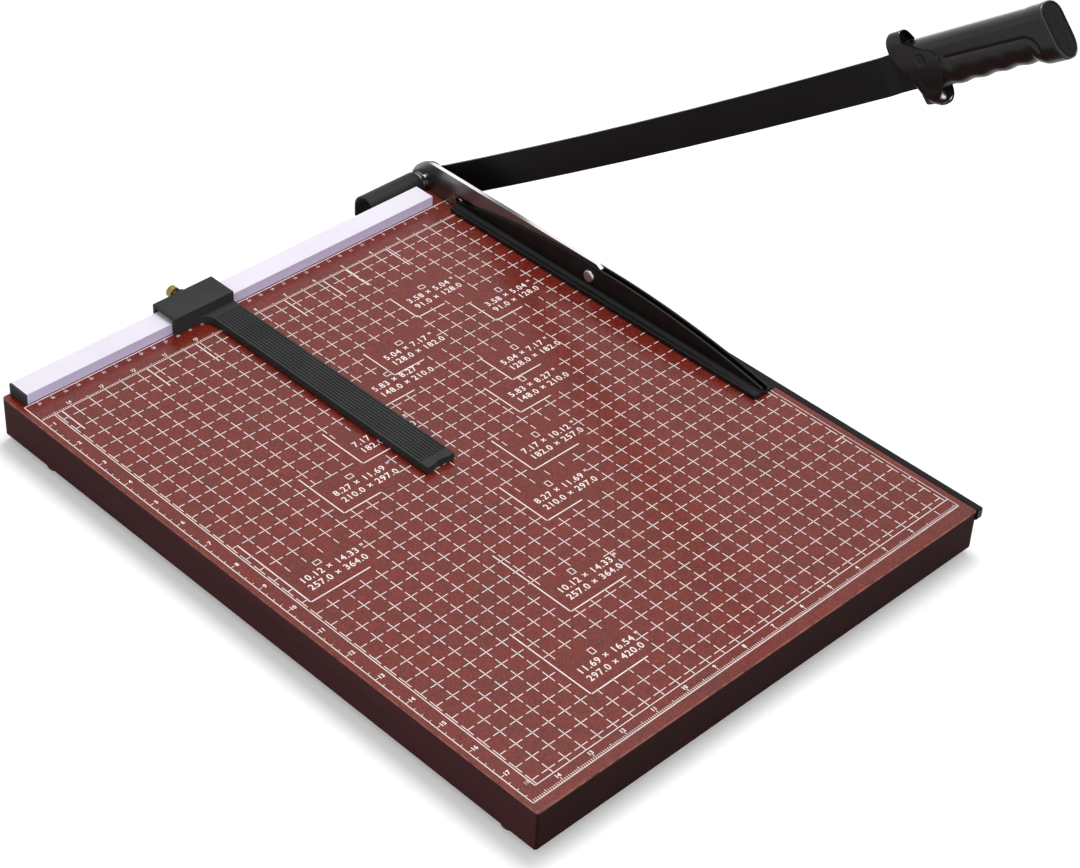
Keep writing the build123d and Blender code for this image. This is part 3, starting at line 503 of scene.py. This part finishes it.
def sheetStrokes():
    # a small sheet above each label, upright or lying as the paper does
    strokes = []
    line = printed["border"]
    half = line / 2 / inch
    across, down = printed["sheetPlace"]
    for x, y, *_ in paperCorners():
        wide, high = printed["sheetWide"] / inch, printed["sheetHigh"] / inch
        if x > y:
            wide, high = high, wide
        left, right, low, top = x - across + wide / 2, x - across - wide / 2, y - down, y - down - high
        strokes.append(((left + half, low), (right - half, low), line))
        strokes.append(((left + half, top), (right - half, top), line))
        strokes.append(((left, low), (left, top), line))
        strokes.append(((right, low), (right, top), line))
    return strokes


def makeNumbers(name, words, sides=("CENTER", "CENTER"), ink="print_ink", spacing=1.0):
    # each word is text, place in inches, height of its digits in millimetres and weight
    parts = []
    for text, across, down, size, weight in words:
        curve = bpy.data.curves.new("word", "FONT")
        curve.body = text
        curve.size = size * mm / printed["digitShare"]
        curve.align_x, curve.align_y = sides
        curve.space_character = spacing
        curve.offset = weight * mm
        curve.resolution_u = printed["curveSteps"]
        word = bpy.data.objects.new("word", curve)
        bpy.context.scene.collection.objects.link(word)
        word.location = onBoard(across, down)
        bpy.context.view_layer.update()
        evaluated = word.evaluated_get(bpy.context.evaluated_depsgraph_get())
        flat = bpy.data.meshes.new_from_object(evaluated)
        flat.transform(word.matrix_world)
        parts.append(flat)
        bpy.data.objects.remove(word)
        bpy.data.curves.remove(curve)
    joined = bmesh.new()
    for part in parts:
        joined.from_mesh(part)
        bpy.data.meshes.remove(part)
    return keepPiece(name, joined, ink, "base")


def numberWords():
    words = []
    left, front, back = printed["left"], printed["frontNumbers"], printed["backNumbers"]
    for number in range(1, math.ceil(printed["front"])):
        words.append((str(number), left - printed["sideNumbers"], number, *printed["sideDigits"]))
    for number in range(1, math.ceil(left)):
        words.append((str(number), number, front, *printed["frontDigits"]))
        words.append((str(number), number, back, *printed["backDigits"]))
    for centimetre in printed["centimetres"]:
        x, y = centimetre / cmPerInch, printed["centimetreNumbers"]
        words.append((str(centimetre), x, y, *printed["centimetreDigits"]))
    return words


def labelWords():
    # two lines at each corner: inches, and millimetres below them
    words = []
    (inchAcross, inchDown), (metricAcross, metricDown) = printed["inchLabel"], printed["metricLabel"]
    for x, y, short, long in paperCorners():
        inches = f'{short * mm / inch:.2f} × {long * mm / inch:.2f} "'
        metric = f"{short:.1f} × {long:.1f}"
        words.append((inches, x - inchAcross, y - inchDown, *printed["labelDigits"]))
        words.append((metric, x - metricAcross, y - metricDown, *printed["labelDigits"]))
    return words


for piece in (
    makePrint("printed_grid", gridStrokes()),
    makePrint("printed_rulers", rulerStrokes()),
    makePrint("printed_corners", bracketStrokes()),
    makePrint("printed_sheets", sheetStrokes()),
    makeNumbers("printed_numbers", numberWords()),
    makeNumbers("printed_sizes", labelWords(), ("LEFT", "TOP_BASELINE"), spacing=printed["labelSpacing"]),
    makeNumbers("printed_eighteen", [printed["eighteen"]], ink="print_faint"),
):
    print("printed", piece.name, len(piece.data.polygons), "faces")


# lengths in millimetres: stations run out from the pivot along the lever, heights across it, and
# inner and outer places from the board's middle; a fade is the stretch over which something comes in
handle = {
    "raised": math.radians(35.0),
    "inner": 194.6, "outer": 215.6,
    "guardTop": 15.8, "guardFoot": -33.2,
    # each corner has a width and a height: over the board side, over, under, under the board side
    "guardCorners": [(7.0, 7.0), (9.8, 9.8), (9.8, 9.8), (8.0, 8.0)],
    "gripCorners": [(7.6, 7.6), (7.6, 7.6), (8.0, 12.0), (8.0, 12.0)],
    "topNarrow": 0.45, "narrowFade": (-12, 14),
    "footTilt": 2.2, "tiltFade": (4, 33),
    # insets of the flat front, and how much smaller its corners are
    "frontRound": {"left": 0.9, "right": 3.5, "foot": 9.0, "top": 4.5, "corner": 3},
    "frontAngles": (0, 20, 40, 60, 75, 90),
    "front": 461.0, "frontLean": 12.5, "frontFade": (-6, 26),
    # heights and stations of the guard's rear edge: an S on the board side, nearly straight beyond
    "rimKnots": [
        (-34, 482), (-31, 483.5), (-26, 488), (-21.8, 492.5), (-10.7, 496.4), (-5, 497),
        (0.4, 493.5), (4, 483), (9, 474), (16, 472.5),
    ],
    "farRim": 473.0, "farRimLean": 8.5, "farRimFade": (7, 27), "rimTurn": (1.0, 9.0),
    # shares of the lip's width and height over the rim, then shares of the way across the hollow
    "lip": 1.3, "overRim": [(0.15, 0.75), (0.5, 1.0), (0.85, 0.75), (1.0, 0.0)], "lipShare": 0.6,
    "hollowFloor": [0.1, 1.0], "hollowTop": 3.0, "hollowFoot": 9.0, "hollowFade": (0, 20),
    "hollowGap": (2.0, 6.0), "hollowSteep": (0.3, 0.8), "foldGap": (0.6, 2.0), "leastGap": 0.01,
    "hollowPaint": 0.9,  # the second paint starts this many lips below the rim
    "gripInner": 194.9, "gripOuter": 212.0,
    "gripTop": 8.4, "gripFoot": -23.4, "gripRoot": 482,
    "topRise": 1.4, "topStart": 476, "topLength": 94,
    "footRise": 1.8, "footFade": (480, 560),
    "scallopStart": 486.0, "scallopEnd": 563.0, "scallopPitch": 17.0, "scallopDepth": 0.9,
    "flareStart": 561.0, "flareLength": 8.0, "flareFoot": 2.3, "flareSide": 0.9, "flareTop": 0.4,
    "end": 580.0, "endLean": 0.17, "middle": -7.0,
    # insets, and rises in rims, of the rounded end; then insets and depths of the well and its cap
    "rim": 1.3, "endRound": [(0.25, 0.7), (0.55, 1.0), (0.95, 1.0), (1.15, 0.85)],
    "well": (1.2, 0.6), "capRoot": (1.3, 0.5), "capRound": [(1.3, 0.2), (1.6, 0.0), (5.0, 0.0)],
    "capSink": 0.35,
    "grooveStart": 500.8, "grooveTurn": 559.6, "grooveHeight": -5.5, "grooveBend": 9.0,
    "grooveHalf": 1.0, "grooveDepth": 0.9, "grooveFade": (-2, 4), "bendFade": (-3, 2),
    "panelDepth": 0.35, "panelFade": (0, 2), "sideFade": (0.5, 3),
    "screwAt": (483.0, -3.1),
    "screwDimple": {"radius": 3.2, "depth": 0.2},
    "nutDimple": {"radius": 5.4, "depth": 1.4},
    "dimpleEdge": (-0.7, 0.3), "nutSide": (209, 211),
    "sideSteps": 40, "cornerSteps": 10, "shortSteps": 5, "guardSteps": 30, "gripSteps": 120,
    "sharpAngle": math.radians(50),
}


def ease(value, low, high):
    share = min(max((value - low) / (high - low), 0), 1)
    return share * share * (3 - 2 * share)


def sectionOutline(left, right, foot, top, corners):
    # rounded section across the lever, from the foot of its board side, over the top and round
    def corner(x, z, size, start):
        steps = handle["cornerSteps"]
        turns = [math.radians(start - 90 * step / steps) for step in range(steps)]
        return [(x + size[0] * math.cos(turn), z + size[1] * math.sin(turn)) for turn in turns]

    def side(start, end, steps):
        across, up = end[0] - start[0], end[1] - start[1]
        shares = [step / steps for step in range(steps)]
        return [(start[0] + across * share, start[1] + up * share) for share in shares]

    (a, b), (c, d), (e, f), (g, h) = corners
    long, short = handle["sideSteps"], handle["shortSteps"]
    points = side((left, foot + h), (left, top - b), long) + corner(left + a, top - b, (a, b), 180)
    points += side((left + a, top), (right - c, top), short) + corner(right - c, top - d, (c, d), 90)
    points += side((right, top - d), (right, foot + f), long) + corner(right - e, foot + f, (e, f), 0)
    points += side((right - e, foot), (left + g, foot), short) + corner(left + g, foot + h, (g, h), -90)
    return points


def guardPoint(x, height):
    # the guard narrows towards its top and tilts in below
    wide = handle["outer"] - handle["inner"]
    share = (x - handle["inner"]) / wide
    narrow = 1 - handle["topNarrow"] * ease(height, *handle["narrowFade"])
    tilt = handle["footTilt"] * ease(-height, *handle["tiltFade"]) * (1 - share)
    return handle["inner"] + wide * share * narrow + tilt, height


def frontAt(height):
    # station of the guard's front end
    return handle["front"] + handle["frontLean"] * ease(-height, *handle["frontFade"])


def rimAt(x, height):
    # station of the guard's rear edge
    knots = handle["rimKnots"]
    station = knots[-1][1] if height > 0 else knots[0][1]
    for (low, a), (high, b) in zip(knots, knots[1:]):
        if low <= height <= high:
            share = (height - low) / (high - low)
            station = a + (b - a) * share
    far = handle["farRim"] + handle["farRimLean"] * ease(-height, *handle["farRimFade"])
    near, beyond = handle["rimTurn"]
    return station + (far - station) * ease(x, handle["inner"] + near, handle["inner"] + beyond)


def endAt(height):
    # station of the grip's slanting end
    return handle["end"] - handle["endLean"] * (height - handle["middle"])


def gripSection(station):
    # the grip's outline at a station, with its scallops and the flare at the end
    flare = ease(station, handle["flareStart"], handle["flareStart"] + handle["flareLength"])
    foot = handle["gripFoot"] + handle["footRise"] * ease(station, *handle["footFade"])
    foot -= handle["flareFoot"] * flare
    if handle["scallopStart"] < station < handle["scallopEnd"]:
        turn = 2 * math.pi * (station - handle["scallopStart"]) / handle["scallopPitch"]
        foot += handle["scallopDepth"] * (1 - math.cos(turn)) / 2
    top = handle["gripTop"] + handle["topRise"] * (station - handle["topStart"]) / handle["topLength"]
    top += handle["flareTop"] * flare
    right = handle["gripOuter"] + handle["flareSide"] * flare
    return sectionOutline(handle["gripInner"], right, foot, top, handle["gripCorners"])


def dent(station, height, dimple):
    # depth of a round dimple round the screw
    reach = math.dist((station, height), handle["screwAt"])
    inside, outside = handle["dimpleEdge"]
    return dimple["depth"] * (1 - ease(reach, dimple["radius"] + inside, dimple["radius"] + outside))


def moulded(x, station, height):
    # groove and panel on the board side, dimples for the screw and its nut
    inner, start, turn = handle["gripInner"], handle["grooveStart"], handle["grooveTurn"]
    if x > (inner + handle["gripOuter"]) / 2:
        return x - dent(station, height, handle["nutDimple"]) * ease(x, *handle["nutSide"])
    bend = handle["grooveHeight"] - handle["grooveBend"]
    if station < turn:
        away = handle["grooveHeight"] - height
        low, high = handle["grooveFade"]
        share = ease(station, start + low, start + high)
    else:
        away = handle["grooveBend"] - math.dist((station, height), (turn, bend))
        low, high = handle["bendFade"]
        share = ease(height, bend + low, bend + high)
    groove = handle["grooveDepth"] * math.exp(-((away / handle["grooveHalf"]) ** 2))
    panel = handle["panelDepth"] * ease(away, *handle["panelFade"])
    low, high = handle["sideFade"]
    flat = 1 - ease(x, inner + low, inner + high)
    return x + ((groove + panel) * share + dent(station, height, handle["screwDimple"])) * flat


leverHinge = next(joint["pos_m"] for joint in frame["joints"] if joint["name"] == "lever_hinge")


def leverPoint(station, x, height):
    # from the lever's own stations and heights to the frame
    cos, sin = math.cos(handle["raised"]), math.sin(handle["raised"])
    y = leverHinge[1] + (-station * cos + height * sin) * mm
    z = leverHinge[2] + (station * sin + height * cos) * mm
    return Vector((x * mm, y, z))


def guardRings():
    # from the rounded front to the rim; each ring is a list of (station, x, height)
    size, corners = handle["frontRound"], handle["guardCorners"]
    left, right, foot, top = handle["inner"], handle["outer"], handle["guardFoot"], handle["guardTop"]
    guard = [guardPoint(x, z) for x, z in sectionOutline(left, right, foot, top, corners)]
    smaller = [(wide - size["corner"], high - size["corner"]) for wide, high in corners]
    inset = (left + size["left"], right - size["right"], foot + size["foot"], top - size["top"])
    core = [guardPoint(x, z) for x, z in sectionOutline(*inset, smaller)]
    rings = []
    for angle in handle["frontAngles"]:
        turn = math.radians(angle)
        ring = []
        for (x, z), (coreX, coreZ) in zip(guard, core):
            depth = math.dist((x, z), (coreX, coreZ))
            px = coreX + (x - coreX) * math.sin(turn)
            pz = coreZ + (z - coreZ) * math.sin(turn)
            ring.append((frontAt(pz) + depth * (1 - math.cos(turn)), px, pz))
        rings.append(ring)
    front = rings[-1]
    steps = handle["guardSteps"]
    for step in range(1, steps + 1):
        ring = []
        for start, x, z in front:
            station = start + (rimAt(x, z) - handle["lip"] - start) * step / steps
            ring.append((station, moulded(x, station, z), z))
        rings.append(ring)
    return rings


def lipRings(guard, grip):
    # over the rim and down into the hollow round the grip; where the two are level there is no hollow
    lip, overRim = handle["lip"], handle["overRim"]
    path = overRim + [(share, 0.0) for share in handle["hollowFloor"]]
    hollowTop, hollowFoot = handle["hollowTop"], handle["hollowFoot"]
    pairs = [(outer[1:], inner) for outer, inner in zip(guard, grip)]
    rings = []
    inside = {}
    for count, (share, lift) in enumerate(path, 1):
        ring = []
        for index, ((x, z), (gripX, gripZ)) in enumerate(pairs):
            gap = max(math.dist((x, z), (gripX, gripZ)), handle["leastGap"])
            if count <= len(overRim):
                move = share * min(lip / gap, handle["lipShare"])
                point = (x + (gripX - x) * move, z + (gripZ - z) * move)
                deep = 0
                inside[index] = point
            else:
                fromX, fromZ = inside[index]
                point = (fromX + (gripX - fromX) * share, fromZ + (gripZ - fromZ) * share)
                steep = ease(abs(z - gripZ) / gap, *handle["hollowSteep"])
                full = hollowTop + (hollowFoot - hollowTop) * ease(-z, *handle["hollowFade"])
                deep = full * ease(gap, *handle["hollowGap"]) * steep
            rim = rimAt(x, z)
            folded = rim - lip + lip * lift - deep
            level = rim - lip + lip * count / len(path)
            ring.append((level + (folded - level) * ease(gap, *handle["foldGap"]), *point))
        rings.append(ring)
    return rings


def gripRings(grip):
    # along the grip from the hollow to the end
    rings = []
    steps = handle["gripSteps"]
    for step in range(1, steps + 1):
        ring = []
        for index, (x, z) in enumerate(grip):
            start = rimAt(x, z)
            station = start + (endAt(z) - handle["rim"] - start) * step / steps
            px, pz = gripSection(station)[index]
            ring.append((station, moulded(px, station, pz), pz))
        rings.append(ring)
    return rings


def bridge(mesh, rings, hollow=()):
    # spans listed as hollow take the second paint
    loops = [[mesh.verts.new(leverPoint(*point)) for point in ring] for ring in rings]
    for span, (first, second) in enumerate(zip(loops, loops[1:])):
        for i in range(len(first)):
            after = (i + 1) % len(first)
            face = mesh.faces.new((first[i], first[after], second[after], second[i]))
            station, x, height = rings[span][i]
            lowest = min(station, rings[span + 1][i][0])
            deep = lowest < rimAt(x, height) - handle["hollowPaint"] * handle["lip"]
            face.material_index = int(span in hollow and deep)
    mesh.faces.new(loops[0][::-1])
    mesh.faces.new(loops[-1])
    bmesh.ops.recalc_face_normals(mesh, faces=mesh.faces)
    return mesh


def inward(ring, distance, back):
    # the ring drawn in towards its middle, and set back from the end
    low, high = min(point[2] for point in ring), max(point[2] for point in ring)
    left, right = min(point[1] for point in ring), max(point[1] for point in ring)
    midX, midZ = (left + right) / 2, (low + high) / 2
    shareX, shareZ = 1 - 2 * distance / (right - left), 1 - 2 * distance / (high - low)
    drawn = []
    for station, x, z in ring:
        newZ = midZ + (z - midZ) * shareZ
        newX = midX + (x - midX) * shareX
        drawn.append((station - handle["endLean"] * (newZ - z) - back, newX, newZ))
    return drawn


def makeHandle():
    grip = gripSection(handle["gripRoot"])
    rings = guardRings()
    hollowStart = len(rings) + len(handle["overRim"]) - 1
    hollow = range(hollowStart, hollowStart + len(handle["hollowFloor"]) + 1)
    rings += lipRings(rings[-1], grip) + gripRings(grip)
    edge = rings[-1]
    rim = handle["rim"]
    face = handle["capSink"] - rim
    rings += [inward(edge, inset, -rise * rim) for inset, rise in handle["endRound"]]
    rings.append(inward(edge, *handle["well"]))
    shell = keepPiece("handle_shell", bridge(bmesh.new(), rings, hollow), "handle_plastic", "lever")
    shell.data.materials.append(paints["hollow_plastic"])
    cap = [inward(edge, *handle["capRoot"])]
    cap += [inward(edge, inset, face + back) for inset, back in handle["capRound"]]
    cover = keepPiece("handle_cap", bridge(bmesh.new(), cap), "cap_plastic", "lever")
    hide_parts("handle_grip")
    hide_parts("handle_end_cap")
    for piece in (shell, cover):
        piece.data.shade_smooth()
        piece.data.set_sharp_from_angle(angle=handle["sharpAngle"])
        print("made", piece.name, len(piece.data.polygons), "faces")


makeHandle()


railCap = {
    "count": 4,
    "pitch": 1.6 * mm,
    "radius": 0.3 * mm,
    "margin": 1.2 * mm,
    "steps": 8,
}


def makeCapRibs(settings):
    # fine half-round lines across the rail's end cap
    low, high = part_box("rail_end_cap")
    mesh = bmesh.new()
    middle = (low.z + high.z) / 2
    radius, steps = settings["radius"], settings["steps"]
    for count in range(settings["count"]):
        z = middle + (count - (settings["count"] - 1) / 2) * settings["pitch"]
        loops = []
        for y in (low.y + settings["margin"], high.y - settings["margin"]):
            turns = [math.pi * step / steps for step in range(steps + 1)]
            places = [(low.x - radius * math.sin(turn), y, z + radius * math.cos(turn)) for turn in turns]
            loops.append([mesh.verts.new(place) for place in places])
        front, back = loops
        for step in range(steps):
            mesh.faces.new((front[step], front[step + 1], back[step + 1], back[step]))
        mesh.faces.new(front)
        mesh.faces.new(back[::-1])
        mesh.faces.new((front[0], back[0], back[-1], front[-1]))
    bmesh.ops.recalc_face_normals(mesh, faces=mesh.faces)
    ribs = keepPiece("rail_cap_ribs", mesh, "stop_plastic", "base")
    print("made", ribs.name, len(ribs.data.polygons), "faces")


makeCapRibs(railCap)


camera = {
    "aim": Vector((39.81, -10.13, 29.5)) * mm,
    "distance": 1669.5 * mm,
    "heading": 46.560,
    "down": 38.385,
    "roll": 3.287,
    "lens": 88.476,
    "sensor": 36.0,
}


def makeCamera(settings):
    heading, down, roll = (math.radians(settings[key]) for key in ("heading", "down", "roll"))
    forward = Vector(
        (math.sin(heading) * math.cos(down), math.cos(heading) * math.cos(down), -math.sin(down))
    )
    level = Vector((math.cos(heading), -math.sin(heading), 0))
    upright = level.cross(forward)
    right = level * math.cos(roll) + upright * math.sin(roll)
    up = right.cross(forward)
    turned = Matrix((right, up, -forward)).transposed().to_4x4()
    data = bpy.data.cameras.new("camera")
    data.lens = settings["lens"]
    data.sensor_width = settings["sensor"]
    view = bpy.data.objects.new("camera", data)
    view.matrix_world = Matrix.Translation(settings["aim"] - forward * settings["distance"]) @ turned
    bpy.context.scene.collection.objects.link(view)
    bpy.context.scene.camera = view


studio = {
    "floorReach": 6.0,
    "floorColour": (0.92, 0.92, 0.92, 1.0),
    "floorLift": (0.23, 0.23, 0.23, 1.0),
    "farFloor": (0.8, 2.0),
    "skyShare": 0.4,
    "lamps": [
        # name, place, aim, size, watts
        ("key", (0.6, 0.27, 2.4), (0.0, 0.0, 0.0), 1.0, 35.0),
        ("side", (-2.1, -0.2, 1.1), (0.0, 0.0, 0.05), 1.2, 4.0),
        ("front", (-0.5, -2.2, 0.8), (0.0, 0.0, 0.05), 1.2, 14.0),
    ],
}


def makeFloor(settings):
    # matt and nearly white, brighter to the camera and reflections, and full white far off
    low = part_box("foot_front_left")[0].z
    mesh = bpy.data.meshes.new("floor")
    reach = settings["floorReach"]
    corners = [(-reach, -reach, low), (reach, -reach, low), (reach, reach, low), (-reach, reach, low)]
    mesh.from_pydata(corners, [], [(0, 1, 2, 3)])
    floor = bpy.data.objects.new("floor", mesh)
    bpy.context.scene.collection.objects.link(floor)
    paint = Paint(bpy.data.materials.new("floor_white"))
    seen = paint.node("ShaderNodeLightPath", {}, {}, "Is Camera Ray")
    mirrored = paint.node("ShaderNodeLightPath", {}, {}, "Is Glossy Ray")
    x, y = paint.axis(paint.place, 0), paint.axis(paint.place, 1)
    away = paint.maths("SQRT", x * x + y * y)
    lift = paint.blend(paint.span(away, *settings["farFloor"]), settings["floorLift"], (1, 1, 1, 1))
    shine = paint.node("ShaderNodeEmission", {}, {"Color": lift, "Strength": seen + mirrored})
    matt = paint.node("ShaderNodeBsdfDiffuse", {}, {"Color": settings["floorColour"]})
    both = paint.node("ShaderNodeAddShader", {}, {0: matt, 1: shine})
    paint.node("ShaderNodeOutputMaterial", {}, {"Surface": both})
    mesh.materials.append(paint.owner)


def makeSky(settings):
    # full white where the camera or a reflection looks, and softer as a light
    bpy.context.scene.world = bpy.data.worlds.new("sky")
    paint = Paint(bpy.context.scene.world)
    seen = paint.node("ShaderNodeLightPath", {}, {}, "Is Camera Ray")
    mirrored = paint.node("ShaderNodeLightPath", {}, {}, "Is Glossy Ray")
    level = paint.span(seen + mirrored, 0.0, 1.0, settings["skyShare"], 1.0)
    sky = paint.node("ShaderNodeBackground", {}, {"Color": (1, 1, 1, 1), "Strength": level})
    paint.node("ShaderNodeOutputWorld", {}, {"Surface": sky})


def makeLamps(settings):
    for name, place, aim, size, power in settings["lamps"]:
        data = bpy.data.lights.new(name, "AREA")
        data.size = size
        data.energy = power
        lamp = bpy.data.objects.new(name, data)
        lamp.location = place
        lamp.rotation_mode = "QUATERNION"
        lamp.rotation_quaternion = (Vector(aim) - Vector(place)).to_track_quat("-Z", "Y")
        bpy.context.scene.collection.objects.link(lamp)


makeCamera(camera)
makeFloor(studio)
makeSky(studio)
makeLamps(studio)
bpy.context.scene.view_settings.view_transform = "Standard"
print("camera and studio set")
